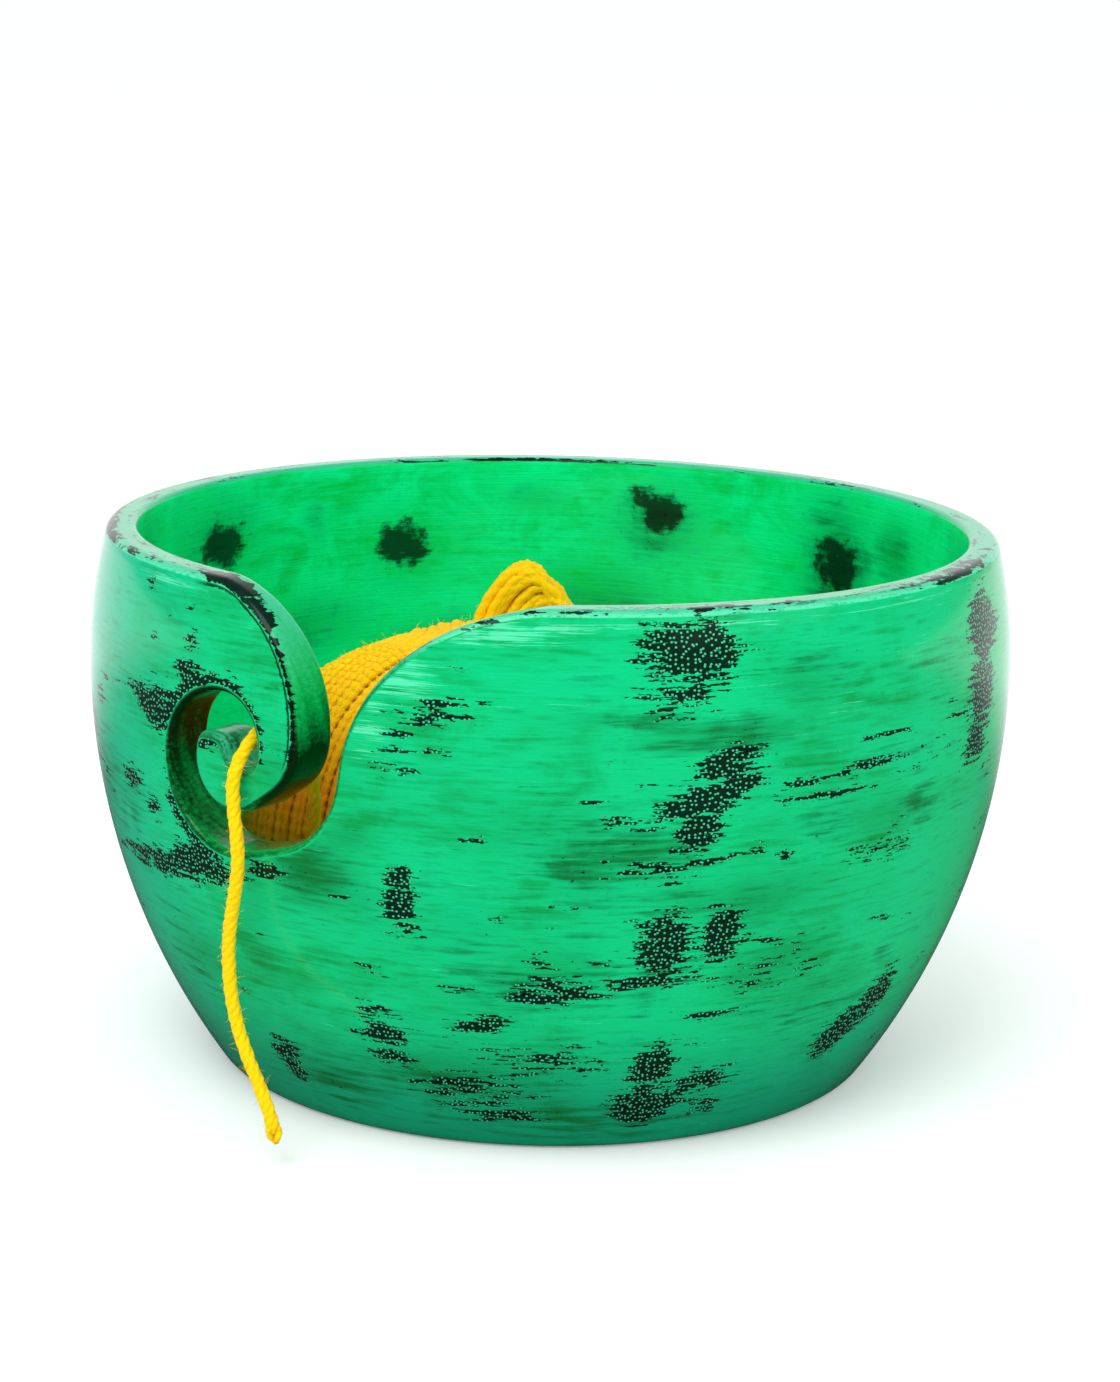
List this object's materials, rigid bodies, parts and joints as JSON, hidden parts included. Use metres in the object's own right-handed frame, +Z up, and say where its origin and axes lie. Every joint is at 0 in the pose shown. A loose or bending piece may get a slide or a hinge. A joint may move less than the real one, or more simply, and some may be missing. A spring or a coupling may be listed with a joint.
{
  "type": "yarn bowl",
  "caption": "Turned wooden bowl with a spiral slot in its wall, which guides the working strand of a hank of yarn that lies inside.",
  "frame": {"origin": "centre of the base, on the surface that the bowl stands on", "axes": "+Z up along the bowl's turning axis, -Y out through the middle of the spiral slot, +X to the right seen from the front"},
  "size_m": [0.178, 0.1813, 0.104],
  "materials": {
    "lacquered_wood": "green stain with dark rubbed patches under a gloss lacquer",
    "yarn": "matte twisted yarn, golden yellow"
  },
  "bodies": {
    "bowl": {"bowl": "lacquered_wood", "working_strand": "yarn"},
    "skein": {"yarn_hank": "yarn", "hank_end_loops": "yarn"}
  },
  "joints": [
    {"name": "skein_lift", "type": "slide", "parent": "bowl", "child": "skein", "axis": [0, 0, 1], "range_m": [0, 0.12]}
  ]
}
